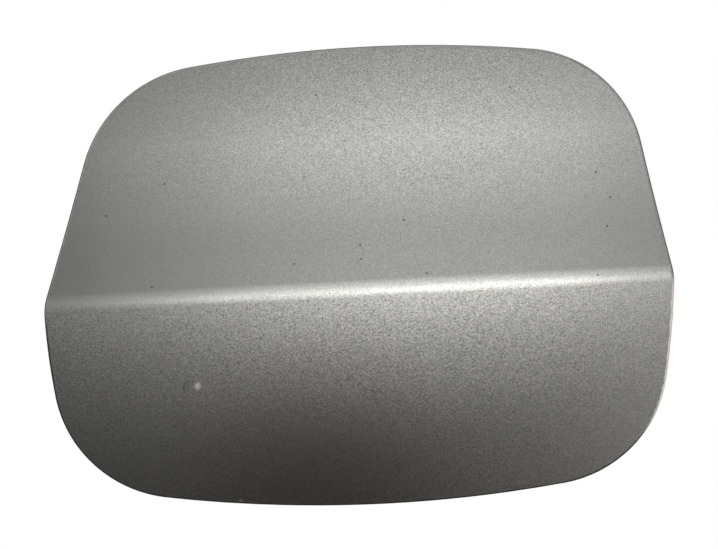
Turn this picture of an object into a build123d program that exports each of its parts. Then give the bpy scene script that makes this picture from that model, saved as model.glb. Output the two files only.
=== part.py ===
from build123d import *
import math
import os

# A car's fuel door with its hinge, shut. X runs along the door from the hinge side to the lock side,
# +Y points into the car and +Z up. The origin is the middle of the hinge bracket's two bolt holes, on its
# mounting face. The crease of the painted face and the middle of the hinge are at the origin's height.

# Outline of the painted face: six corners with bowed sides between them, each corner rounded
crease_length = 192.2
top_left_inset = 20.8
top_left_height = 67.3
top_right_inset = 11.5
top_right_height = 67.9
bottom_right_inset = 9.4
bottom_right_drop = 58.2
bottom_left_inset = 6.9
bottom_left_drop = 55.6
top_bow = 7.6
right_lower_bow = 1.6
bottom_bow = 9.1
left_lower_bow = 1.8
left_tip_radius = 20.0
top_left_radius = 41.0
top_right_radius = 37.0
right_tip_radius = 20.0
bottom_right_radius = 37.5
bottom_left_radius = 38.0

# Upright section of the painted face, from the crease up and from the crease down
crown_radius = 1400.0
crease_upper_radius = 20.0
crease_lower_radius = 28.0
slope_above_crease = 10.8
strip_radius = 700.0
slope_above_strip = 9.7
hollow_radius = 268.0
slope_between = 3.4
brow_radius = 860.0
slope_below_crease = 4.0
shoulder_radius = 360.0
slope_below_shoulder = 8.2
belly_radius = 280.0
section_reach = 48.0

# Sheets and the hem
skin_sheet = 0.8
inner_sheet = 0.7
sheet_gap = 0.05
hem_width = 7.0
flange_gap = 0.3
sealer_width = 3.0
sealer_height = 0.8

# Stamped pan of the inner panel
floor_depth = 11.5
floor_half_height = 22.0
upper_floor_slope = 8.0
lower_floor_slope = 14.0
floor_fold_radius = 10.0
pan_inset = 12.0
pan_draft = 25.0
pan_edge_radius = 3.0
bead_length = 74.0
bead_width = 11.0
bead_depth = 1.8
bead_draft = 30.0
upper_bead_rise = 17.0
lower_bead_drop = 10.5
drain_radius = 2.8
drain_spread = 60.0
drain_drop = 20.0

# Hinge
pin_inset = 33.0
pin_radius = 2.5
pin_standoff = 28.5
pin_to_bolts = 20.0
pin_over_leaf = 5.4
running_gap = 0.05
press_gap = 0.02
end_gap = 0.3

# Bracket on the car
bracket_sheet = 2.0
ear_half_gap = 21.0
ear_end_radius = 5.5
ear_base_left = 5.0
ear_base_right = 8.0
bend_radius = 2.0
flange_half_height = 29.0
flange_length = 22.0
flange_corner_radius = 6.0
bolt_spacing = 36.0
bolt_hole_radius = 3.3

# Pin and clip
pin_head_radius = 4.5
pin_head_height = 2.0
pin_tail = 3.0
clip_sheet = 0.8
clip_radius = 4.8
groove_depth = 0.6
clip_mouth = 3.2

# Leaf on the door
leaf_sheet = 1.6
lug_outer = 18.6
lug_end_radius = 6.0
leaf_reach = 36.0
leaf_half_height = 16.0
leaf_tongue = 10.0
tongue_half_height = 9.0
leaf_corner_radius = 4.0
leaf_bend_radius = 1.0
bush_wall = 1.0
bush_flange_radius = 5.2

# Rivets
rivet_radius = 2.4
rivet_head_radius = 4.2
rivet_head_height = 1.5
rivet_foot_radius = 3.6
rivet_foot_height = 1.0
rivet_dome = 0.6
leaf_rivet_x = (14.0, 29.0)
leaf_rivet_z = 11.0

# Spring
wire_radius = 0.8
coil_radius = 4.2
coil_pitch = 1.75
coil_turns = 6.25
door_leg = 8.0
guide_wall = 0.55
leg_hole_gap = 0.3

# Lock eye
lock_inset = 28.0
lock_sheet = 1.8
lock_base_length = 20.0
lock_half_height = 9.0
lock_rise = 14.0
lock_hole_radius = 4.0
lock_rivet_inset = 6.5
lock_rivet_z = 5.0

# Rubber buffers
buffer_inset = 40.0
upper_buffer_rise = 20.0
lower_buffer_drop = 15.0
buffer_radius = 7.0
buffer_tip_radius = 5.0
buffer_height = 9.0
buffer_stem_radius = 3.5
buffer_bulb_radius = 4.6
buffer_bulb_height = 1.8

# Cradle for the filler cap
cap_offset = 12.0
cap_base_width = 42.0
cap_base_height = 34.0
cap_base_sheet = 2.2
cap_base_corner = 5.0
cradle_radius = 13.0
cradle_wall = 2.5
cradle_depth = 13.0
cradle_horn = 7.0
cradle_lip = 2.5
cradle_lip_depth = 2.0
cradle_edge_radius = 0.6
peg_radius = 2.8
peg_head = 0.5
peg_taper = 15.0
peg_x = 15.0
peg_z = 12.0

# Places that follow from the sizes above
pin_x = -pin_to_bolts
pin_y = -pin_standoff
floor_y = pin_y - pin_over_leaf - leaf_sheet
crease_y = floor_y - floor_depth
door_left = pin_x - pin_inset
door_right = door_left + crease_length
door_middle = (door_left + door_right) / 2
hem_stack = 2 * skin_sheet + inner_sheet + 2 * sheet_gap
hem_edge_radius = hem_stack / 2 - sheet_gap / 2
block = 4 * floor_depth
lug_inner = lug_outer - leaf_sheet
lug_bend_radius = leaf_bend_radius + leaf_sheet
ear_outer = ear_half_gap + bracket_sheet
bush_bore = pin_radius + running_gap
bush_radius = bush_bore + bush_wall
rivet_hole = rivet_radius + press_gap
buffer_hole = buffer_stem_radius + running_gap
peg_hole = peg_radius + running_gap
cap_x = door_middle + cap_offset
buffer_x = door_right - buffer_inset
lock_x = door_right - lock_inset
sealer_depth = skin_sheet + inner_sheet + 2 * sheet_gap
pan_hole_reach = 2 * inner_sheet
web_half_height = ear_half_gap - 2 * bend_radius
groove_top = -ear_outer - sheet_gap
groove_width = clip_sheet + 2 * sheet_gap
leaf_rivet_places = [(pin_x + x, z) for x in leaf_rivet_x for z in (-leaf_rivet_z, leaf_rivet_z)]
lock_rivet_places = [(lock_x - lock_base_length + lock_rivet_inset, z) for z in (-lock_rivet_z, lock_rivet_z)]
peg_places = [(cap_x + x, peg_z) for x in (-peg_x, peg_x)]


def facing(y):
    """Plane across the car at y that looks out of it, with X and Z as its own axes."""
    return Plane(origin=(0, y, 0), x_dir=(1, 0, 0), z_dir=(0, -1, 0))


def sloped(z, slope):
    """Plane of the pan's floor that leans by slope, through the fold at height z."""
    lean = math.radians(slope)
    return Plane(origin=(0, floor_y, z), x_dir=(1, 0, 0), z_dir=(0, -math.cos(lean), math.sin(lean)))


def level(z):
    """Level plane at height z, with X and Y as its own axes."""
    return Plane.XY.offset(z)


floor_plane = facing(floor_y)
upper_floor = sloped(floor_half_height, upper_floor_slope)
lower_floor = sloped(-floor_half_height, -lower_floor_slope)
crown_axis = Axis((door_middle, crease_y + crown_radius, 0), (0, 0, 1))
half_sweep = math.asin((crease_length / 2 + hem_width) / crown_radius)
section_plane = Plane(
    origin=(door_middle, crease_y + crown_radius, 0),
    x_dir=(-math.sin(half_sweep), -math.cos(half_sweep), 0),
    z_dir=(-math.cos(half_sweep), math.sin(half_sweep), 0),
)

# Outline of the door, seen from outside the car
left_tip = (door_left, 0)
top_left = (door_left + top_left_inset, top_left_height)
top_right = (door_right - top_right_inset, top_right_height)
right_tip = (door_right, 0)
bottom_right = (door_right - bottom_right_inset, -bottom_right_drop)
bottom_left = (door_left + bottom_left_inset, -bottom_left_drop)
with BuildSketch() as door_outline:
    with BuildLine():
        Line(left_tip, top_left)
        SagittaArc(top_left, top_right, top_bow)
        Line(top_right, right_tip)
        SagittaArc(right_tip, bottom_right, right_lower_bow)
        SagittaArc(bottom_right, bottom_left, bottom_bow)
        SagittaArc(bottom_left, left_tip, left_lower_bow)
    make_face()
    for corner, radius in (
        (left_tip, left_tip_radius),
        (top_left, top_left_radius),
        (top_right, top_right_radius),
        (right_tip, right_tip_radius),
        (bottom_right, bottom_right_radius),
        (bottom_left, bottom_left_radius),
    ):
        fillet(door_outline.vertices().sort_by_distance(corner)[0], radius)


# Line of the spring's wire: a leg up to the coil from the bracket's base, the coil, and a leg along the leaf
coil_height = coil_pitch * coil_turns
with BuildLine() as spring_path:
    coil = Helix(coil_pitch, coil_height, coil_radius, center=(pin_x, pin_y, -coil_height / 2), lefthand=True)
    Line(coil @ 0 - (coil % 0) * (pin_standoff - sheet_gap), coil @ 0)
    Line(coil @ 1, coil @ 1 + (coil % 1) * door_leg)
leg_end = spring_path.line @ 0
leg_foot = (leg_end.X, leg_end.Z)


def section_curve(depth):
    """Draws the upright section of the painted face, depth behind it, and gives its two ends."""
    crest = (crown_radius - depth, 0)
    reach = math.degrees(section_reach / brow_radius)
    sag = math.degrees(2 * section_reach / belly_radius)
    over = JernArc(crest, (0, 1), crease_upper_radius - depth, slope_above_crease)
    strip = JernArc(over @ 1, over % 1, strip_radius + depth, slope_above_strip - slope_above_crease)
    hollow = JernArc(strip @ 1, strip % 1, hollow_radius + depth, slope_between - slope_above_strip)
    brow = JernArc(hollow @ 1, hollow % 1, brow_radius - depth, reach)
    under = JernArc(crest, (0, -1), crease_lower_radius - depth, -slope_below_crease)
    turn = slope_below_crease - slope_below_shoulder
    shoulder = JernArc(under @ 1, under % 1, shoulder_radius - depth, turn)
    belly = JernArc(shoulder @ 1, shoulder % 1, belly_radius - depth, -sag)
    return brow @ 1, belly @ 1


def skin_layer(near, far):
    """Adds the curved layer between two depths behind the painted face, past the outline all round."""
    with BuildSketch(section_plane) as section:
        with BuildLine():
            near_top, near_foot = section_curve(near)
            far_top, far_foot = section_curve(far)
            Line(near_top, far_top)
            Line(near_foot, far_foot)
        make_face()
    revolve(section.sketch, axis=crown_axis, revolution_arc=2 * math.degrees(half_sweep))


def inset_outline(plane, inset):
    """The door's outline on a plane, every line and arc of it drawn in by inset about its own centre."""
    middle = door_outline.face().center()
    with BuildSketch(plane) as outline:
        with BuildLine():
            for edge in door_outline.edges():
                points = []
                for share in (0, 0.5, 1):
                    point = edge @ share
                    inward = (edge % share).rotate(Axis.Z, 90)
                    side = math.copysign(inset, inward.dot(middle - point))
                    points.append(point + inward * side)
                if edge.geom_type == GeomType.LINE:
                    Line(points[0], points[2])
                else:
                    ThreePointArc(*points)
        make_face()
    return outline.sketch


def trim_to_outline(inset):
    """Keeps what lies inside the door's outline drawn in by inset."""
    extrude(inset_outline(facing(crease_y - block), inset), amount=-3 * block, mode=Mode.INTERSECT)


def pan_block(inset, rise):
    """Adds the tapered block of the pan, its floor rise in front of the panel's back."""
    extrude(inset_outline(facing(crease_y), pan_inset + inset), amount=-block, taper=pan_draft)
    tall = block * 3
    upper_run = tall * math.tan(math.radians(upper_floor_slope))
    lower_run = tall * math.tan(math.radians(lower_floor_slope))
    floor = floor_y - rise
    with BuildSketch(Plane(origin=(door_middle, 0, 0), x_dir=(0, 1, 0), z_dir=(1, 0, 0))) as side:
        with BuildLine():
            Polyline(
                (crease_y - block, floor_half_height + tall),
                (floor + upper_run, floor_half_height + tall),
                (floor, floor_half_height),
                (floor, -floor_half_height),
                (floor + lower_run, -floor_half_height - tall),
                (crease_y - block, -floor_half_height - tall),
                close=True,
            )
        make_face()
        folds = side.vertices().filter_by_position(Axis.Y, -floor_half_height, floor_half_height)
        fillet(folds, floor_fold_radius)
    extrude(side.sketch, amount=crease_length, both=True, mode=Mode.INTERSECT)


# Skin: a slab as thick as the hem with a rounded edge, hollowed behind, and with a slot for the inner panel
with BuildPart() as hem_pocket:
    skin_layer(skin_sheet, hem_stack + skin_sheet)
    trim_to_outline(hem_width)

with BuildPart() as hem_slot:
    skin_layer(skin_sheet, skin_sheet + inner_sheet + 2 * sheet_gap)
    trim_to_outline(skin_sheet)

with BuildPart() as outer_panel:
    skin_layer(0, hem_stack)
    trim_to_outline(0)
    walls = outer_panel.faces().filter_by(lambda face: face.geom_type in (GeomType.PLANE, GeomType.CYLINDER))
    rim = walls.edges().filter_by(Axis.Y, reverse=True)
    fillet(rim, hem_edge_radius)
    add(hem_pocket.part, mode=Mode.SUBTRACT)
    add(hem_slot.part, mode=Mode.SUBTRACT)

# Inner panel: a flange that fills the hem's slot, with a pan pressed back from it
def pan_edges(pan):
    """Edges between the floor of a pan and its walls."""
    floor = pan.faces().filter_by(lambda face: face.normal_at().Y > math.cos(math.radians(pan_draft)))
    return floor.edges().filter_by(Axis.X, reverse=True)


with BuildPart() as skin_space:
    skin_layer(-block / 2, skin_sheet + sheet_gap)

with BuildPart() as flange:
    skin_layer(skin_sheet + sheet_gap, skin_sheet + sheet_gap + inner_sheet)
    trim_to_outline(skin_sheet + flange_gap)

with BuildPart() as pan_hollow:
    pan_block(inner_sheet / math.cos(math.radians(pan_draft)), inner_sheet)
    fillet(pan_edges(pan_hollow), pan_edge_radius - inner_sheet)
    for plane, shift in ((upper_floor, upper_bead_rise), (lower_floor, -lower_bead_drop)):
        with BuildSketch(plane) as bead:
            with Locations((door_middle, shift)):
                SlotOverall(bead_length + 2 * inner_sheet, bead_width + 2 * inner_sheet)
        extrude(bead.sketch, amount=bead_depth + inner_sheet, taper=bead_draft, mode=Mode.SUBTRACT)

with BuildPart() as inner_panel:
    pan_block(0, 0)
    fillet(pan_edges(inner_panel), pan_edge_radius)
    for plane, shift in ((upper_floor, upper_bead_rise), (lower_floor, -lower_bead_drop)):
        with BuildSketch(plane) as bead:
            with Locations((door_middle, shift)):
                SlotOverall(bead_length, bead_width)
        extrude(bead.sketch, amount=bead_depth, taper=bead_draft, mode=Mode.SUBTRACT)
    add(skin_space.part, mode=Mode.SUBTRACT)
    add(flange.part)
    add(pan_hollow.part, mode=Mode.SUBTRACT)
    with BuildSketch(floor_plane) as floor_holes:
        with Locations(*leaf_rivet_places):
            Circle(rivet_hole)
        with Locations(*lock_rivet_places):
            Circle(rivet_hole)
        with Locations(*peg_places):
            Circle(peg_hole)
    extrude(floor_holes.sketch, amount=pan_hole_reach, both=True, mode=Mode.SUBTRACT)
    for plane, shift in ((upper_floor, upper_buffer_rise), (lower_floor, -lower_buffer_drop)):
        with BuildSketch(plane) as buffer_seat:
            with Locations((buffer_x, shift)):
                Circle(buffer_hole)
        extrude(buffer_seat.sketch, amount=pan_hole_reach, both=True, mode=Mode.SUBTRACT)
    with BuildSketch(lower_floor) as drains:
        with Locations((door_middle, -drain_drop)):
            with GridLocations(drain_spread, 0, 2, 1):
                Circle(drain_radius)
    extrude(drains.sketch, amount=pan_hole_reach, both=True, mode=Mode.SUBTRACT)

# Sealer: a low bead along the hem's edge, on the inner panel's flange
with BuildPart() as sealer_inside:
    skin_layer(0, hem_stack + skin_sheet)
    trim_to_outline(hem_width + sheet_gap + sealer_width)

with BuildPart() as seam_sealer:
    skin_layer(sealer_depth, sealer_depth + sealer_height)
    trim_to_outline(hem_width + sheet_gap)
    add(sealer_inside.part, mode=Mode.SUBTRACT)

# Leaf: a plate on the pan's floor, with a lug bent up at each end of the coil
with BuildPart() as hinge_leaf:
    with BuildSketch(floor_plane) as plate:
        with Locations((pin_x, 0)):
            Rectangle(2 * lug_end_radius, 2 * lug_outer)
            Rectangle(leaf_reach, 2 * leaf_half_height, align=(Align.MIN, Align.CENTER))
        fillet(plate.vertices().group_by(Axis.X)[-1], leaf_corner_radius)
        with Locations((pin_x, 0)):
            Rectangle(leaf_tongue, 2 * tongue_half_height, align=(Align.MAX, Align.CENTER))
        fillet(plate.vertices().group_by(Axis.X)[0], leaf_corner_radius)
        with Locations(*leaf_rivet_places):
            Circle(rivet_hole, mode=Mode.SUBTRACT)
    extrude(amount=-leaf_sheet)
    for side in (1, -1):
        with BuildSketch(level(side * lug_inner)) as lug:
            with Locations((pin_x, pin_y)):
                Circle(lug_end_radius)
                Rectangle(2 * lug_end_radius, pin_over_leaf + leaf_sheet, align=(Align.CENTER, Align.MAX))
                Circle(bush_radius + press_gap, mode=Mode.SUBTRACT)
        extrude(amount=side * leaf_sheet)
    bends = hinge_leaf.edges().filter_by(Axis.X)
    inside = bends.filter_by(lambda edge: abs(edge.center().Y - floor_y - leaf_sheet) < press_gap)
    fillet(inside.filter_by(lambda edge: abs(abs(edge.center().Z) - lug_inner) < press_gap), leaf_bend_radius)
    bends = hinge_leaf.edges().filter_by(Axis.X)
    outside = bends.filter_by(lambda edge: abs(edge.center().Y - floor_y) < press_gap)
    fillet(outside.filter_by(lambda edge: abs(abs(edge.center().Z) - lug_outer) < press_gap), lug_bend_radius)

# Bracket: a channel bent from sheet, its sides the ears, with a web and a flange that is bolted to the car
with BuildPart() as hinge_bracket:
    ear_tip = pin_y - ear_end_radius
    with BuildSketch(Plane(origin=(pin_x, 0, 0), x_dir=(0, 1, 0), z_dir=(1, 0, 0))) as channel:
        with Locations((ear_tip, 0)):
            Rectangle(-ear_tip, 2 * ear_outer, align=(Align.MIN, Align.CENTER))
        fillet(channel.vertices().group_by(Axis.X)[-1], bend_radius + bracket_sheet)
        with BuildLine():
            FilletPolyline(
                (ear_tip - bracket_sheet, ear_half_gap),
                (-bracket_sheet, ear_half_gap),
                (-bracket_sheet, -ear_half_gap),
                (ear_tip - bracket_sheet, -ear_half_gap),
                radius=bend_radius,
            )
            Line((ear_tip - bracket_sheet, -ear_half_gap), (ear_tip - bracket_sheet, ear_half_gap))
        make_face(mode=Mode.SUBTRACT)
    extrude(amount=ear_base_left + ear_base_right, both=True)
    with BuildSketch(level(0)) as ear:
        with BuildLine():
            ThreePointArc((pin_x - ear_end_radius, pin_y), (pin_x, ear_tip), (pin_x + ear_end_radius, pin_y))
            Polyline(
                (pin_x + ear_end_radius, pin_y),
                (pin_x + ear_base_right, 0),
                (pin_x - ear_base_left, 0),
                (pin_x - ear_end_radius, pin_y),
            )
        make_face()
    extrude(amount=2 * ear_outer, both=True, mode=Mode.INTERSECT)
    with BuildSketch(facing(0)) as base:
        Rectangle(pin_to_bolts, 2 * web_half_height, align=(Align.MAX, Align.CENTER))
        RectangleRounded(flange_length, 2 * flange_half_height, flange_corner_radius)
    extrude(amount=bracket_sheet)
    with BuildSketch(facing(0)) as base_holes:
        with Locations((0, bolt_spacing / 2), (0, -bolt_spacing / 2)):
            Circle(bolt_hole_radius)
        with Locations(leg_foot):
            Circle(wire_radius + leg_hole_gap)
    extrude(amount=bracket_sheet, mode=Mode.SUBTRACT)
    with BuildSketch(level(0)) as pin_holes:
        with Locations((pin_x, pin_y)):
            Circle(pin_radius + press_gap)
    extrude(amount=2 * ear_outer, both=True, mode=Mode.SUBTRACT)

# Pin with its head above the upper ear and a groove for the clip below the lower one
with BuildPart() as hinge_pin:
    with BuildSketch(Plane(origin=(pin_x, pin_y, 0), x_dir=(1, 0, 0), z_dir=(0, -1, 0))) as half_pin:
        with BuildLine():
            Polyline(
                (0, ear_outer + pin_head_height),
                (pin_head_radius, ear_outer + pin_head_height),
                (pin_head_radius, ear_outer),
                (pin_radius, ear_outer),
                (pin_radius, groove_top),
                (pin_radius - groove_depth, groove_top),
                (pin_radius - groove_depth, groove_top - groove_width),
                (pin_radius, groove_top - groove_width),
                (pin_radius, groove_top - groove_width - pin_tail),
                (0, groove_top - groove_width - pin_tail),
                close=True,
            )
        make_face()
    revolve(axis=Axis((pin_x, pin_y, 0), (0, 0, 1)))
    rims = hinge_pin.edges().sort_by(Axis.Z)
    chamfer(rims[0], groove_depth)
    fillet(rims[-1], groove_depth)

with BuildPart() as pin_clip:
    with BuildSketch(level(groove_top - sheet_gap)) as ring:
        with Locations((pin_x, pin_y)):
            Circle(clip_radius)
            Circle(pin_radius - groove_depth + running_gap, mode=Mode.SUBTRACT)
            Rectangle(2 * clip_radius, clip_mouth, align=(Align.MIN, Align.CENTER), mode=Mode.SUBTRACT)
    extrude(amount=-clip_sheet)

# Bushes in the lugs, each with its flange towards the ear
bushes = {}
for side, name in ((1, "upper_bush"), (-1, "lower_bush")):
    with BuildPart() as bush:
        with BuildSketch(level(side * lug_inner)) as barrel:
            with Locations((pin_x, pin_y)):
                Circle(bush_radius)
        extrude(amount=side * leaf_sheet)
        with BuildSketch(level(side * lug_outer)) as collar:
            with Locations((pin_x, pin_y)):
                Circle(bush_flange_radius)
        extrude(amount=side * (ear_half_gap - lug_outer - end_gap))
        with BuildSketch(level(side * lug_inner)) as bore:
            with Locations((pin_x, pin_y)):
                Circle(bush_bore)
        extrude(amount=side * (ear_half_gap - lug_inner), mode=Mode.SUBTRACT)
    bushes[name] = bush.part

with BuildPart() as spring_guide:
    with BuildSketch(level(end_gap - lug_inner)) as tube:
        with Locations((pin_x, pin_y)):
            Circle(bush_bore + guide_wall)
            Circle(bush_bore, mode=Mode.SUBTRACT)
    extrude(amount=2 * (lug_inner - end_gap))

# Spring: one leg stands in the bracket's base, the other lies on the leaf's tongue and turns with the door
with BuildPart() as return_spring:
    with BuildSketch(Plane(origin=spring_path.line @ 0, z_dir=spring_path.line % 0)) as wire:
        Circle(wire_radius)
    sweep(wire.sketch, path=spring_path.line)


def rivets(places, grip):
    """Adds a rivet at each place of the pan's floor, through it and a plate of thickness grip behind it."""
    for plane, radius, amount in (
        (floor_plane.offset(inner_sheet), rivet_foot_radius, rivet_foot_height),
        (floor_plane.offset(inner_sheet), rivet_radius, -inner_sheet - grip),
        (floor_plane.offset(-grip), rivet_head_radius, -rivet_head_height),
    ):
        with BuildSketch(plane) as discs:
            with Locations(*places):
                Circle(radius)
        extrude(discs.sketch, amount=amount)


with BuildPart() as leaf_rivets:
    rivets(leaf_rivet_places, leaf_sheet)
    fillet(leaf_rivets.edges().group_by(Axis.Y)[-1], rivet_head_height * rivet_dome)

with BuildPart() as lock_rivets:
    rivets(lock_rivet_places, lock_sheet)
    fillet(lock_rivets.edges().group_by(Axis.Y)[-1], rivet_head_height * rivet_dome)

# Lock eye: an angle whose upright arm has the hole for the car's lock pin
with BuildPart() as lock_eye:
    with BuildSketch(floor_plane) as foot:
        with Locations((lock_x, 0)):
            Rectangle(lock_base_length, 2 * lock_half_height, align=(Align.MAX, Align.CENTER))
        fillet(foot.vertices().group_by(Axis.X)[0], leaf_corner_radius)
        with Locations(*lock_rivet_places):
            Circle(rivet_hole, mode=Mode.SUBTRACT)
    extrude(amount=-lock_sheet)
    with BuildSketch(Plane(origin=(lock_x, floor_y, 0), x_dir=(0, 1, 0), z_dir=(1, 0, 0))) as arm:
        Rectangle(lock_rise, 2 * lock_half_height, align=(Align.MIN, Align.CENTER))
        with Locations((lock_rise, 0)):
            Circle(lock_half_height)
            Circle(lock_hole_radius, mode=Mode.SUBTRACT)
    extrude(amount=-lock_sheet)
    bend = lock_eye.edges().filter_by(Axis.Z)
    inner_bend = bend.filter_by(lambda edge: abs(edge.center().Y - floor_y - lock_sheet) < press_gap)
    fillet(inner_bend.sort_by(Axis.X)[-1], leaf_bend_radius)
    bend = lock_eye.edges().filter_by(Axis.Z)
    outer_bend = bend.filter_by(lambda edge: abs(edge.center().Y - floor_y) < press_gap)
    fillet(outer_bend.sort_by(Axis.X)[-1], leaf_bend_radius + lock_sheet)

# Rubber buffers: a stem through the pan's floor, a bulb in front of it and a blunt cone behind
buffers = {}
for plane, shift, name in (
    (upper_floor, upper_buffer_rise, "upper_buffer"),
    (lower_floor, -lower_buffer_drop, "lower_buffer"),
):
    seat = Plane(origin=plane.from_local_coords((buffer_x, shift, 0)), x_dir=plane.x_dir, z_dir=plane.y_dir)
    with BuildPart() as buffer:
        with BuildSketch(seat) as half_buffer:
            with BuildLine():
                Polyline(
                    (0, -inner_sheet - buffer_bulb_height),
                    (buffer_stem_radius, -inner_sheet - buffer_bulb_height),
                    (buffer_bulb_radius, -inner_sheet - running_gap),
                    (buffer_stem_radius, -inner_sheet - running_gap),
                    (buffer_stem_radius, running_gap),
                    (buffer_radius, running_gap),
                    (buffer_tip_radius, buffer_height),
                    (0, buffer_height),
                    close=True,
                )
            make_face()
        revolve(axis=Axis(seat.origin, seat.y_dir))
        fillet(buffer.edges().sort_by(Axis.Y)[-1], buffer_tip_radius * rivet_dome)
    buffers[name] = buffer.part

# Cradle for the cap: a plate with two pegs, and an upward-open trough with a lip
with BuildPart() as cap_holder:
    with BuildSketch(floor_plane) as back_plate:
        with Locations((cap_x, 0)):
            RectangleRounded(cap_base_width, cap_base_height, cap_base_corner)
    extrude(amount=-cap_base_sheet)
    for depth, length, inner in (
        (cap_base_sheet, cradle_depth, cradle_radius),
        (cap_base_sheet + cradle_depth, cradle_lip_depth, cradle_radius - cradle_lip),
    ):
        outer = cradle_radius + cradle_wall
        with BuildSketch(floor_plane.offset(-depth)) as trough:
            with Locations((cap_x, 0)):
                Circle(outer)
                Rectangle(2 * outer, outer, align=(Align.CENTER, Align.MIN), mode=Mode.SUBTRACT)
                Rectangle(2 * outer, cradle_horn, align=(Align.CENTER, Align.MIN))
                Circle(inner, mode=Mode.SUBTRACT)
                Rectangle(2 * inner, 2 * outer, align=(Align.CENTER, Align.MIN), mode=Mode.SUBTRACT)
        extrude(trough.sketch, amount=-length)
    mouth = cap_holder.faces().sort_by(Axis.Y)[-1]
    fillet(mouth.edges(), cradle_edge_radius)
    with BuildSketch(floor_plane) as pegs:
        with Locations(*peg_places):
            Circle(peg_radius)
    extrude(pegs.sketch, amount=inner_sheet + sheet_gap)
    with BuildSketch(floor_plane.offset(inner_sheet + sheet_gap)) as barbs:
        with Locations(*peg_places):
            Circle(peg_radius + peg_head)
    extrude(barbs.sketch, amount=2 * peg_radius, taper=peg_taper)

os.makedirs("parts", exist_ok=True)
pieces = {
    "outer_panel": outer_panel.part,
    "inner_panel": inner_panel.part,
    "seam_sealer": seam_sealer.part,
    "hinge_leaf": hinge_leaf.part,
    "hinge_bracket": hinge_bracket.part,
    "hinge_pin": hinge_pin.part,
    "pin_clip": pin_clip.part,
    "spring_guide": spring_guide.part,
    "return_spring": return_spring.part,
    "leaf_rivets": leaf_rivets.part,
    "lock_eye": lock_eye.part,
    "lock_rivets": lock_rivets.part,
    "cap_holder": cap_holder.part,
    **bushes,
    **buffers,
}
for name, piece in pieces.items():
    piece.label = name
    export_step(piece, f"parts/{name}.step")
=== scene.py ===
import math

import bpy
import numpy as np
from mathutils import Matrix, Vector
from mathutils.kdtree import KDTree


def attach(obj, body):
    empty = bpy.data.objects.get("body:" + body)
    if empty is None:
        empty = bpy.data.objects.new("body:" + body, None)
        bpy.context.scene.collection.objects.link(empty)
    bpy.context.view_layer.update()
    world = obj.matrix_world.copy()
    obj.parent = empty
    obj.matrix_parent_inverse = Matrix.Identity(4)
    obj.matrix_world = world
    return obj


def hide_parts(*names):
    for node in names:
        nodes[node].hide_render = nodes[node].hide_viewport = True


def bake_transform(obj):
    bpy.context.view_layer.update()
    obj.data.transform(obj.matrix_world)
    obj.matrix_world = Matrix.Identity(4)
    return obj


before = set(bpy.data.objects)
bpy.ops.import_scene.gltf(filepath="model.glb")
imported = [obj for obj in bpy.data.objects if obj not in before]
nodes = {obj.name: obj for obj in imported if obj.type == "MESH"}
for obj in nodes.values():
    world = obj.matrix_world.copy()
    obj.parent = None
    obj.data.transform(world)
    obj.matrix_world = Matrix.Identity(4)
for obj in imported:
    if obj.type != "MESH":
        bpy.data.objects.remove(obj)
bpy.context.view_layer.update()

# The picture, and the view it was taken from
picture_width = 718
picture_height = 549
sensor_width = 36.0
view_distance = 0.450
view_width = 0.2165
view_roll = math.radians(2.89)
view_middle = Vector((0.04332, -0.047, 0.00522))


def feed(tree, socket, value):
    """Link a signal to a socket, or set a plain value on it."""
    if isinstance(value, Signal):
        tree.links.new(value.socket, socket)
    else:
        socket.default_value = value


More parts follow.
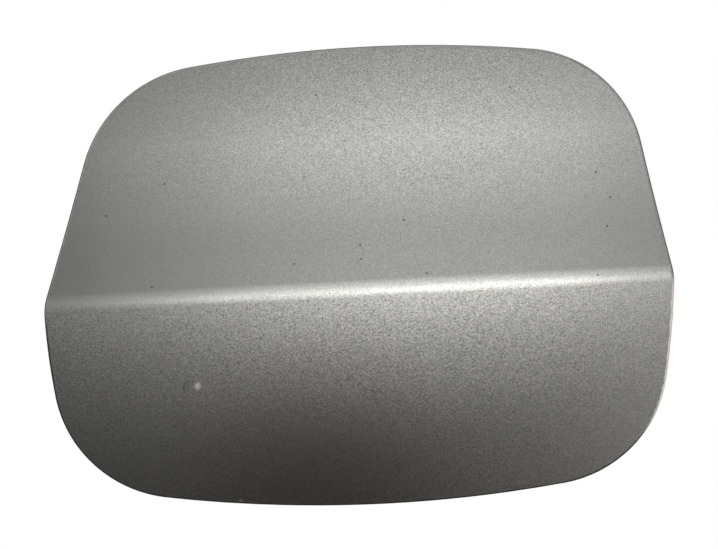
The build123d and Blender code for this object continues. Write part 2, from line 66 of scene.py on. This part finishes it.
class Signal:
    """A shader socket that takes part in plain arithmetic."""

    def __init__(self, tree, socket=None):
        self.tree = tree
        self.socket = socket

    def node(self, kind, inputs, output=0, **settings):
        """One output of a new node, whose settings come first and then its sockets' values or links."""
        made = self.tree.nodes.new(kind)
        for name, setting in settings.items():
            setattr(made, name, setting)
        for place, value in inputs.items():
            feed(self.tree, made.inputs[place], value)
        return Signal(self.tree, made.outputs[output])

    def maths(self, operation, first, second=0.0):
        return self.node("ShaderNodeMath", {0: first, 1: second}, operation=operation)

    def __add__(self, other):
        return self.maths("ADD", self, other)

    def __radd__(self, other):
        return self.maths("ADD", other, self)

    def __sub__(self, other):
        return self.maths("SUBTRACT", self, other)

    def __rsub__(self, other):
        return self.maths("SUBTRACT", other, self)

    def __mul__(self, other):
        return self.maths("MULTIPLY", self, other)

    def __rmul__(self, other):
        return self.maths("MULTIPLY", other, self)

    def absolute(self):
        return self.maths("ABSOLUTE", self)

    def at_most(self, other):
        return self.maths("MINIMUM", self, other)

    def at_least(self, other):
        return self.maths("MAXIMUM", self, other)

    def ramp(self, start, stop, low=0.0, high=1.0):
        """Goes smoothly from low to high as the value goes from start to stop."""
        return self.node(
            "ShaderNodeMapRange",
            {0: self, 1: start, 2: stop, 3: low, 4: high},
            interpolation_type="SMOOTHSTEP",
        )

    def blend(self, colour, other):
        """The first colour where the value is 0 and the other where it is 1."""
        return self.node("ShaderNodeMix", {0: self, 6: colour, 7: other}, output=2, data_type="RGBA")

    def warm_grey(self, blue):
        """A grey of this tone, with its blue scaled to warm it."""
        return self.node("ShaderNodeCombineColor", {0: self, 1: self, 2: self * blue})

    def stretched(self, x, y, z):
        return self.node("ShaderNodeVectorMath", {0: self, 1: (x, y, z)}, operation="MULTIPLY")

    def noise(self, scale, detail=2.0, roughness=0.5):
        return self.node(
            "ShaderNodeTexNoise",
            {"Vector": self, "Scale": scale, "Detail": detail, "Roughness": roughness},
        )

    def cells(self, scale, output="Distance"):
        return self.node("ShaderNodeTexVoronoi", {"Vector": self, "Scale": scale}, output=output)

    def distance_to(self, place):
        return self.node("ShaderNodeVectorMath", {0: self, 1: place}, output=1, operation="DISTANCE")

    def part(self, axis):
        return self.node("ShaderNodeSeparateXYZ", {0: self}, output="XYZ".index(axis))

    def grey(self):
        return self.node("ShaderNodeSeparateColor", {0: self}, output=0)

    def bump(self):
        """A normal for a surface raised by this height, in metres."""
        return self.node("ShaderNodeBump", {"Strength": 1.0, "Distance": 1.0, "Height": self})


class Finish:
    """A material on object coordinates, whose settings may be numbers or signals."""

    def __init__(self, name):
        self.material = bpy.data.materials.new(name)
        self.material.use_nodes = True
        self.tree = self.material.node_tree
        self.shader = self.tree.nodes["Principled BSDF"]
        self.place = Signal(self.tree).node("ShaderNodeTexCoord", {}, output="Object")

    def set(self, **settings):
        for name, value in settings.items():
            feed(self.tree, self.shader.inputs[name.replace("_", " ")], value)

    def cover(self, *pieces):
        for piece in pieces:
            piece.data.materials.clear()
            piece.data.materials.append(self.material)


def looked_at(tree):
    """1 for what is seen straight, in a reflection or through glass, and 0 for the light it throws."""
    seen = Signal(tree).node("ShaderNodeLightPath", {}, output="Is Camera Ray")
    for way in ("Is Glossy Ray", "Is Transmission Ray"):
        seen = seen.at_least(seen.node("ShaderNodeLightPath", {}, output=way))
    return seen


def rgb(red, green, blue):
    return (red, green, blue, 1.0)


# Camera
camera_data = bpy.data.cameras.new("camera")
camera_data.sensor_width = sensor_width
camera_data.lens = sensor_width * view_distance / view_width
camera_data.clip_start = 0.01
camera_data.clip_end = 20.0
camera = bpy.data.objects.new("camera", camera_data)
bpy.context.scene.collection.objects.link(camera)
turn = Matrix.Rotation(math.radians(90), 4, "X") @ Matrix.Rotation(-view_roll, 4, "Z")
camera.matrix_world = Matrix.Translation(view_middle - Vector((0, view_distance, 0))) @ turn
bpy.context.scene.camera = camera


# Upright section of the painted face, up and down from the crest: radius, first and last slope of each arc
section_above = ((0.020, 0.0, 10.8), (0.700, 10.8, 9.7), (0.268, 9.7, 3.4), (0.860, 3.4, 6.6))
section_below = ((0.028, 0.0, 4.0), (0.360, 4.0, 8.2), (0.280, 8.2, 19.3))
crown_radius = 1.400
crest_y = -0.047
door_middle = 0.0431
section_step = 0.0004
face_tolerance = 0.00005


def section_walk(arcs):
    """Heights, depths and slopes along one half of the section, in small steps from the crest."""
    heights, depths, slopes = [0.0], [0.0], [0.0]
    for radius, first, last in arcs:
        length = radius * abs(math.radians(last - first))
        steps = math.ceil(length / section_step)
        for step in range(steps):
            slope = math.radians(first + (last - first) * (step + 0.5) / steps)
            heights.append(heights[-1] + length / steps * math.cos(slope))
            depths.append(depths[-1] + length / steps * math.sin(slope))
            slopes.append(math.radians(first + (last - first) * (step + 1) / steps))
    return heights, depths, slopes


walk_above = section_walk(section_above)
walk_below = section_walk(section_below)


def face_normal(place):
    """The true normal of the painted face at a point, or None where the point is off the face."""
    heights, depths, slopes = walk_above if place.z > 0 else walk_below
    rise = abs(place.z)
    radius = crown_radius - np.interp(rise, heights, depths)
    sine = (place.x - door_middle) / radius
    cosine = math.sqrt(1 - sine * sine)
    if abs(crest_y + crown_radius - radius * cosine - place.y) > face_tolerance:
        return None
    slope = np.interp(rise, heights, slopes)
    flat = math.cos(slope)
    return Vector((flat * sine, -flat * cosine, math.copysign(math.sin(slope), place.z)))


# Joining a copy's triangles: how close points merge, how far a corner is drawn in to tell it from its
# neighbours, and the least cosine between a packed normal and the true one that takes its place
merge_distance = 0.000002
corner_pull = 0.1
least_cosine = 0.9


def copy_of(name):
    """A copy of a CAD node in its place, to stand for it."""
    piece = nodes[name].copy()
    piece.data = nodes[name].data.copy()
    piece.name = name + "_copy"
    piece.parent = None
    bpy.context.scene.collection.objects.link(piece)
    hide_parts(name)
    return piece


def merge(piece):
    """Join the loose triangles of a copy into one closed mesh."""
    bpy.ops.object.select_all(action="DESELECT")
    piece.select_set(True)
    bpy.context.view_layer.objects.active = piece
    bpy.ops.mesh.customdata_custom_splitnormals_clear()
    bpy.ops.object.mode_set(mode="EDIT")
    bpy.ops.mesh.select_all(action="SELECT")
    bpy.ops.mesh.remove_doubles(threshold=merge_distance)
    bpy.ops.object.mode_set(mode="OBJECT")


def corner_places(mesh):
    """Each corner of each triangle, drawn a little towards the triangle's middle."""
    places = [None] * len(mesh.loops)
    for face in mesh.polygons:
        for corner in face.loop_indices:
            vertex = mesh.vertices[mesh.loops[corner].vertex_index]
            places[corner] = vertex.co.lerp(face.center, corner_pull)
    return places


# Painted skin: the CAD form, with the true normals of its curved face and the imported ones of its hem
skin = copy_of("outer_panel")
packed_normals = [corner.vector.copy() for corner in skin.data.corner_normals]
packed_places = KDTree(len(packed_normals))
for index, place in enumerate(corner_places(skin.data)):
    packed_places.insert(place, index)
packed_places.balance()
merge(skin)
true_normals = [face_normal(vertex.co) for vertex in skin.data.vertices]
corner_normals = [packed_normals[packed_places.find(place)[1]] for place in corner_places(skin.data)]
for loop in skin.data.loops:
    true = true_normals[loop.vertex_index]
    if true is not None and true.dot(corner_normals[loop.index]) > least_cosine:
        corner_normals[loop.index] = true
skin.data.normals_split_custom_set(corner_normals)
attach(skin, "door")
bpy.context.view_layer.update()


def seen_at(column, row):
    """The point of the painted skin that shows at a pixel of the picture."""
    right = (column - picture_width / 2) * view_width / picture_width
    up = (picture_height / 2 - row) * view_width / picture_width
    ray = turn.to_3x3() @ Vector((right, up, -view_distance))
    return skin.ray_cast(camera.matrix_world.translation, ray.normalized())[1]


# Return spring: a merged copy of the CAD node, smoothed by angle, with its place baked into the mesh
coil_smoothing = math.radians(50)
spring = copy_of("return_spring")
merge(spring)
bpy.ops.object.shade_smooth_by_angle(angle=coil_smoothing)
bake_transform(spring)

# Silver paint of the outer skin: metal flakes under lacquer, with the marks of use that it has
paint_tone = 0.46
paint_blue = 0.975
paint_roughness = 0.39
lacquer = 0.5
lacquer_roughness = 0.08
peel_height = 0.000012
flake_scale = 2700.0
fine_flake_scale = 5200.0
flake_share = 0.05
fine_flake_share = 0.40
cloud_share = 0.03
ragged_reach = 0.0024
paint = Finish("silver metallic paint")
flakes = paint.place.cells(flake_scale, output="Color").grey()
fine_flakes = paint.place.cells(fine_flake_scale, output="Color").grey()
clouds = paint.place.noise(28.0, detail=3.0)
peel = paint.place.noise(1150.0, detail=1.5)
ragged = (paint.place.noise(900.0, detail=4.0, roughness=0.7) - 0.5) * ragged_reach
across = paint.place.part("X")
height = paint.place.part("Z")

# Painted sparkle: the flakes' contrast is set by place, strongest just below the crease and on the brow and
# weaker in the hollow and at the ends, where the lamps catch them
painted_sparkle_above = height.ramp(0.018, 0.040, 0.6, 1.1) * across.ramp(-0.04, 0.05, 0.45, 1.0)
painted_sparkle_below = height.ramp(-0.020, -0.050, 1.5, 1.0) * across.ramp(-0.03, 0.04, 0.75, 1.0)
painted_sparkle_depth = painted_sparkle_above + (painted_sparkle_below - painted_sparkle_above) * height.ramp(0.003, -0.004)
painted_sparkle_depth = painted_sparkle_depth * across.ramp(0.085, 0.13, 1.0, 0.65)
sparkle = (flakes - 0.5) * flake_share + (fine_flakes - 0.5) * fine_flake_share
tone = paint_tone + sparkle * painted_sparkle_depth + (clouds - 0.5) * cloud_share
colour = tone.warm_grey(paint_blue)

# Painted dark reflection in warm brown towards the lower edge
dark_reflection_pixel = (320, 492)
dark_reflection_reach = 0.055
dark_reflection_core = 0.004
dark_reflection_brown = rgb(0.215, 0.165, 0.14)
dark_reflection_distance = paint.place.distance_to(seen_at(*dark_reflection_pixel)) + ragged * 4.0
painted_dark_reflection = dark_reflection_distance.ramp(dark_reflection_reach, dark_reflection_core, 0.0, 0.5)
colour = painted_dark_reflection.blend(colour, dark_reflection_brown)

# Specks of grit in the lacquer
speck_pixels = (
    (164, 184), (106, 216), (316, 95), (294, 264), (152, 287), (510, 87), (596, 172),
    (610, 197), (607, 226), (427, 273), (598, 275), (360, 245), (361, 259), (404, 220),
)
speck_radius = 0.00046
speck_core = 0.00018
grit_black = rgb(0.09, 0.088, 0.08)
specks = 0.0
for pixel in speck_pixels:
    speck = paint.place.distance_to(seen_at(*pixel)).ramp(speck_radius, speck_core, 0.0, 0.85)
    specks = speck.at_least(specks)
colour = specks.blend(colour, grit_black)

# Stone chip down to the primer, whose pale pink, with the pink halo round it, is also a painted highlight
# of a small dent, and a shallow flake mark beside it
chip_pixel = (198, 385)
chip_radius = 0.0017
chip_core = -0.0002
chip_depth = 0.00008
chip_primer_and_glint = rgb(0.78, 0.70, 0.68)
glint_pixel = (204, 383)
glint_radius = 0.0028
glint_core = 0.0008
painted_glint_pink = rgb(0.50, 0.43, 0.41)
flake_mark_pixel = (190, 388)
flake_mark_radius = 0.0020
flake_mark_edge = 0.00035
flake_mark_line = 0.0001
flake_mark_depth = 0.000012
flake_mark_grey = rgb(0.12, 0.12, 0.115)
chip = (paint.place.distance_to(seen_at(*chip_pixel)) + ragged).ramp(chip_radius, chip_core)
glint_distance = paint.place.distance_to(seen_at(*glint_pixel)) + ragged
painted_glint = glint_distance.ramp(glint_radius, glint_core, 0.0, 0.30)
mark_place = seen_at(*flake_mark_pixel)
mark_distance = (paint.place.distance_to(mark_place) - flake_mark_radius).absolute()
mark_side = (height - mark_place.z - (across - mark_place.x)).ramp(-0.0004, 0.0012)
flake_mark = mark_distance.ramp(flake_mark_edge, flake_mark_line) * mark_side
colour = (flake_mark * 0.5).blend(colour, flake_mark_grey)
# Painted highlight: the pink halo round the chip
colour = painted_glint.blend(colour, painted_glint_pink)
# Pale pink primer in the chip, also a painted highlight of the dent
colour = chip.blend(colour, chip_primer_and_glint)

# Nick in the lower edge, bare metal
nick_pixel = (241, 501)
nick_radius = 0.0009
nick_core = 0.0003
nick_metal = rgb(0.80, 0.79, 0.77)
nick = (paint.place.distance_to(seen_at(*nick_pixel)) + ragged * 0.5).ramp(nick_radius, nick_core)
colour = nick.blend(colour, nick_metal)

# Flank of the hem: painted highlights along the upper edge and low on the hinge side, painted shade all
# round, and below the crease on the lock side bare to pale primer with a tan line behind it, its ivory also
# a painted highlight of the rolled edge
painted_highlight_silver = rgb(0.80, 0.80, 0.78)
painted_shade_black = rgb(0.025, 0.024, 0.023)
highlight_ivory = rgb(0.95, 0.92, 0.85)
highlight_tan = rgb(0.52, 0.44, 0.33)
primer_roughness = 0.6
facing = paint.place.node("ShaderNodeTexCoord", {}, output="Normal")
sideways = facing.part("X")
backwards = facing.part("Y")
upwards = facing.part("Z")
highlight_length = height.ramp(0.001, -0.004) * height.ramp(-0.052, -0.034)
bare_flank_and_highlight = sideways.ramp(0.11, 0.18) * highlight_length
low_edge = height.ramp(0.002, -0.010)
hinge_side_highlight = sideways.ramp(-0.08, -0.12) * sideways.ramp(-0.28, -0.20) * low_edge * 0.3
upper_edge_highlight = upwards.ramp(0.14, 0.20) * upwards.ramp(0.52, 0.36) * height.ramp(0.035, 0.045)
# Painted highlights where the rolled hem catches the light, on the upper edge and low on the hinge side
colour = ((hinge_side_highlight + upper_edge_highlight) * 0.7).blend(colour, painted_highlight_silver)
# Painted shade: a dark line along the hem's rounded edge all round, deeper low down
shade_round = backwards.ramp(-0.91, -0.72) * upwards.ramp(0.2, 0.6, 0.95, 0.62)
shade_low = backwards.ramp(-0.94, -0.86).at_least(sideways.ramp(-0.24, -0.38)) * low_edge
painted_edge_shade = shade_round.at_least(shade_low) * backwards.ramp(0.60, 0.25) * (1.0 - bare_flank_and_highlight)
colour = (painted_edge_shade * 0.95).blend(colour, painted_shade_black)
# Pale ivory primer on the lock-side flank below the crease, going tan further round: also a painted
# highlight of the rolled edge
highlight_primer = sideways.ramp(0.50, 0.64).blend(highlight_ivory, highlight_tan)
colour = bare_flank_and_highlight.blend(colour, highlight_primer)

# The crest is wiped a little glossier, most of all towards the hinge side
crest_gloss = across.ramp(-0.03, 0.03, 0.08, 0.03) + across.ramp(0.08, 0.12, 0.0, 0.03)
crest_gloss = crest_gloss * height.ramp(0.0013, 0.0001) * height.ramp(-0.0018, -0.0002)
bare = chip.at_least(bare_flank_and_highlight)
roughness = bare.ramp(0.0, 1.0, paint_roughness, primer_roughness) - crest_gloss
paint.set(
    Base_Color=colour,
    Metallic=1.0 - bare.at_least(painted_edge_shade * 0.7),
    Roughness=roughness.at_least(painted_edge_shade * 0.95),
    Coat_Weight=lacquer - chip.at_least(nick).at_least(painted_edge_shade) * lacquer,
    Coat_Roughness=lacquer_roughness,
    Normal=(peel * peel_height - chip * chip_depth - flake_mark * flake_mark_depth).bump(),
)
paint.cover(skin)

# Thinner paint of the inner panel: dry spray, dust in the lower half and runs below the drains
inner_tone = 0.38
inner_blue = 0.98
spray_height = 0.00003
dust_brown = rgb(0.19, 0.165, 0.13)
most_dust = 0.75
inner_paint = Finish("thin inner paint")
spray = inner_paint.place.noise(60.0, detail=4.0)
speckle = inner_paint.place.noise(900.0, detail=3.0)
inner_flakes = inner_paint.place.cells(2600.0, output="Color").grey()
inner_grey = inner_tone + (inner_flakes - 0.5) * 0.10 + (spray - 0.5) * 0.12 + (speckle - 0.5) * 0.06
runs = inner_paint.place.stretched(260.0, 260.0, 26.0).noise(1.0, detail=4.0)
low_down = inner_paint.place.part("Z").ramp(0.035, -0.060)
dust = (low_down * 0.5 + (spray - 0.5) * 0.7).at_least(0.0) * runs.ramp(0.35, 0.70, 0.35, 1.0)
dust = dust.at_most(most_dust)
inner_paint.set(
    Base_Color=dust.blend(inner_grey.warm_grey(inner_blue), dust_brown),
    Metallic=0.8 - dust * 0.8,
    Roughness=dust.ramp(0.0, 0.8, 0.42, 0.78),
    Normal=(speckle * spray_height).bump(),
)
inner_paint.cover(nodes["inner_panel"])

# Sealer bead, brushed along the hem
lump_height = 0.0002
sealer = Finish("seam sealer")
lumps = sealer.place.noise(420.0, detail=3.0)
sealer.set(
    Base_Color=lumps.ramp(0.3, 0.7).blend(rgb(0.34, 0.335, 0.32), rgb(0.44, 0.435, 0.415)),
    Roughness=0.62,
    Normal=(lumps * lump_height).bump(),
)
sealer.cover(nodes["seam_sealer"])

# Zinc plating
plating_height = 0.00001
zinc = Finish("zinc plating")
spangle = zinc.place.cells(320.0, output="Color").grey()
haze = zinc.place.noise(110.0, detail=4.0)
plating = zinc.place.noise(1600.0, detail=2.0)
zinc.set(
    Base_Color=haze.ramp(0.35, 0.7).blend(rgb(0.60, 0.61, 0.63), rgb(0.62, 0.59, 0.52)),
    Metallic=1.0,
    Roughness=0.30 + spangle * 0.08 + haze * 0.10,
    Normal=(plating * plating_height).bump(),
)
zinc.cover(nodes["hinge_leaf"], nodes["lock_eye"], nodes["hinge_pin"])

# Rivets
scuff_height = 0.00004
rivet = Finish("rivet steel")
scuffs = rivet.place.noise(700.0, detail=4.0)
rivet.set(
    Base_Color=scuffs.ramp(0.35, 0.65).blend(rgb(0.46, 0.46, 0.47), rgb(0.60, 0.60, 0.60)),
    Metallic=1.0,
    Roughness=scuffs.ramp(0.3, 0.7, 0.26, 0.44),
    Normal=(scuffs * scuff_height).bump(),
)
rivet.cover(nodes["leaf_rivets"], nodes["lock_rivets"])

# Dark coating of the bracket, rubbed through to the steel where its bolts' washers sat
washer_radius = 0.0065
bolt_rise = 0.018
coat_peel_height = 0.00002
washer_rub_depth = 0.00003
washer_rub_steel = rgb(0.34, 0.33, 0.32)
coating = Finish("dipped coating")
coat_peel = coating.place.noise(900.0, detail=2.0)
coat_dust = coating.place.noise(75.0, detail=5.0)
rubbing = coating.place.noise(800.0, detail=4.0, roughness=0.6)
washer_rub = 0.0
for hole in (Vector((0, 0, bolt_rise)), Vector((0, 0, -bolt_rise))):
    away = coating.place.distance_to(hole) + (rubbing - 0.5) * 0.0022
    washer_rub = away.ramp(washer_radius + 0.0004, washer_radius - 0.0006).at_least(washer_rub)
washer_rub = washer_rub * rubbing.ramp(0.35, 0.60, 0.40, 1.0)
coat_colour = coat_dust.ramp(0.45, 0.8).blend(rgb(0.020, 0.020, 0.022), rgb(0.060, 0.057, 0.053))
coating.set(
    Base_Color=washer_rub.blend(coat_colour, washer_rub_steel),
    Metallic=washer_rub * 0.9,
    Roughness=coat_dust.ramp(0.35, 0.75, 0.34, 0.52),
    Normal=(coat_peel * coat_peel_height - washer_rub * washer_rub_depth).bump(),
)
coating.cover(nodes["hinge_bracket"])

# Spring wire and clip
wire = Finish("spring steel")
drawn = wire.place.noise(1500.0, detail=3.0)
wire.set(
    Base_Color=drawn.ramp(0.3, 0.7).blend(rgb(0.30, 0.295, 0.29), rgb(0.44, 0.435, 0.43)),
    Metallic=1.0,
    Roughness=drawn.ramp(0.3, 0.7, 0.28, 0.42),
)
wire.cover(spring, nodes["pin_clip"])

# Nylon bushes and guide
nylon = Finish("nylon")
milk = nylon.place.noise(260.0, detail=2.0)
nylon.set(
    Base_Color=milk.ramp(0.3, 0.7).blend(rgb(0.74, 0.70, 0.60), rgb(0.80, 0.77, 0.68)),
    Roughness=0.42,
    Subsurface_Weight=0.15,
    Subsurface_Scale=0.001,
)
nylon.cover(nodes["upper_bush"], nodes["lower_bush"], nodes["spring_guide"])

# Moulded plastic of the cap's cradle
grain_height = 0.00004
plastic = Finish("black plastic")
grain = plastic.place.cells(1500.0)
worn = plastic.place.noise(120.0, detail=4.0)
plastic.set(
    Base_Color=worn.ramp(0.4, 0.75).blend(rgb(0.016, 0.016, 0.017), rgb(0.034, 0.033, 0.032)),
    Roughness=worn.ramp(0.3, 0.7, 0.46, 0.60),
    Normal=(grain * grain_height).bump(),
)
plastic.cover(nodes["cap_holder"])

# Rubber buffers
bloom_height = 0.00003
rubber = Finish("rubber")
bloom = rubber.place.noise(320.0, detail=5.0)
rubber.set(
    Base_Color=bloom.ramp(0.45, 0.75).blend(rgb(0.018, 0.018, 0.018), rgb(0.050, 0.049, 0.047)),
    Roughness=bloom.ramp(0.3, 0.7, 0.62, 0.80),
    Normal=(bloom * bloom_height).bump(),
)
rubber.cover(nodes["upper_buffer"], nodes["lower_buffer"])

# Open surroundings: white where they are looked at, dim as a light
open_white = rgb(1, 1, 1)
open_grey = rgb(0.42, 0.42, 0.42)
world = bpy.data.worlds.new("studio")
world.use_nodes = True
bpy.context.scene.world = world
surroundings = looked_at(world.node_tree).blend(open_grey, open_white)
feed(world.node_tree, world.node_tree.nodes["Background"].inputs["Color"], surroundings)


def soft_box(name, turn_right, rise, distance, size_across, size_up, power, tint):
    """An area lamp that looks at the middle of the face from a direction given from the camera's side."""
    lamp = bpy.data.lights.new(name, "AREA")
    lamp.shape = "RECTANGLE"
    lamp.size = size_across
    lamp.size_y = size_up
    lamp.energy = power
    lamp.color = tint
    lamp_object = bpy.data.objects.new(name, lamp)
    bpy.context.scene.collection.objects.link(lamp_object)
    side, lift = math.radians(turn_right), math.radians(rise)
    towards = Vector((math.sin(side) * math.cos(lift), -math.cos(side) * math.cos(lift), math.sin(lift)))
    lamp_object.location = view_middle + towards * distance
    lamp_object.rotation_euler = (-towards).to_track_quat("-Z", "Y").to_euler()
    lamp_object.visible_camera = False


# Lamps: name, degrees to the right and up, distance, width, height, watts and tint
far = 0.9
near = 0.45
key_white = (1.0, 0.99, 0.97)
brow_white = (0.99, 1.0, 0.985)
side_white = (1.0, 0.99, 0.96)
low_white = (1.0, 0.98, 0.94)
rim_white = (1.0, 0.97, 0.91)
lamps = (
    ("key", 4.0, -1.0, far, 0.10, 0.10, 0.27, key_white),
    ("key right", 12.0, 0.0, far, 0.22, 0.22, 0.67, key_white),
    ("key left", -6.0, 0.5, far, 0.22, 0.22, 0.41, key_white),
    ("crest strip", 4.0, -1.0, far, 1.40, 0.10, 0.28, key_white),
    ("brow fill", 6.0, 13.0, far, 0.90, 0.46, 0.60, brow_white),
    ("brow middle", 5.0, 10.0, far, 0.50, 0.30, 0.24, brow_white),
    ("right fill", 32.0, 3.0, far, 0.50, 0.80, 0.10, side_white),
    ("low right", 45.0, -28.0, far, 0.50, 0.50, 0.56, low_white),
    ("crest right", 24.0, -1.0, far, 0.30, 0.12, 0.06, side_white),
    ("rim right", 97.0, -12.0, near, 0.30, 0.30, 0.7, rim_white),
    ("back key", 150.0, 45.0, far, 0.40, 0.40, 1.4, key_white),
)
for lamp in lamps:
    soft_box(*lamp)
# The rim lamp is for the matt flank of the hem, and plated pieces don't mirror it
bpy.data.objects["rim right"].visible_glossy = False

# Pale floor well below the part, which fades out and can be seen through from beneath
floor_middle = Vector((0.043, 0.22, -0.40))
floor_radius = 0.40
floor_full = floor_radius * 0.6
floor_glow = rgb(0.72, 0.72, 0.72)
no_glow = rgb(0, 0, 0)
bpy.ops.object.select_all(action="DESELECT")
bpy.ops.mesh.primitive_circle_add(vertices=96, radius=floor_radius, fill_type="NGON", location=floor_middle)
floor = bpy.context.object
floor.name = "floor"
bpy.ops.object.transform_apply(location=True)
pale = Finish("pale floor")
beneath = pale.place.node("ShaderNodeNewGeometry", {}, output="Backfacing")
pale.set(
    Base_Color=rgb(0.80, 0.80, 0.79),
    Roughness=0.9,
    Specular_IOR_Level=0.1,
    Emission_Color=looked_at(pale.tree).blend(no_glow, floor_glow),
    Emission_Strength=1.0,
    Alpha=pale.place.distance_to(floor_middle).ramp(floor_radius, floor_full) * (1.0 - beneath),
)
pale.cover(floor)

# Half room on the camera's side: dark in front of the face, pale at the sides and above
room_middle = (0.043, 0, 0)
room_radius = 1.4
room_back = 0.15
wall_glow = rgb(0.80, 0.80, 0.79)
bpy.ops.object.select_all(action="DESELECT")
bpy.ops.mesh.primitive_uv_sphere_add(segments=48, ring_count=24, radius=room_radius, location=room_middle)
dark_room = bpy.context.object
dark_room.name = "dark_room"
bpy.ops.object.mode_set(mode="EDIT")
bpy.ops.mesh.select_all(action="SELECT")
bpy.ops.mesh.bisect(plane_co=(0, room_back, 0), plane_no=(0, 1, 0), clear_outer=True)
bpy.ops.object.mode_set(mode="OBJECT")
dark_room.visible_camera = False
dark_room.visible_shadow = False
dark = Finish("dark cloth")
room_across = dark.place.part("X")
room_up = dark.place.part("Z")
sides = room_across.ramp(-0.75, -1.10).at_least(room_across.ramp(0.85, 1.20)) * room_up.ramp(-0.25, 0.25)
low_sides = room_across.ramp(-0.90, -1.20, 0.0, 0.85).at_least(room_across.ramp(0.95, 1.25))
low_sides = low_sides * room_up.ramp(-0.95, -0.45)
pale_walls = sides.at_least(low_sides).at_least(room_up.ramp(0.90, 1.20))
dark.set(
    Base_Color=rgb(0.03, 0.027, 0.024),
    Roughness=1.0,
    Specular_IOR_Level=0.0,
    Emission_Color=pale_walls.blend(no_glow, wall_glow),
    Emission_Strength=1.0,
)
dark.cover(dark_room)

bpy.context.scene.view_settings.view_transform = "Standard"
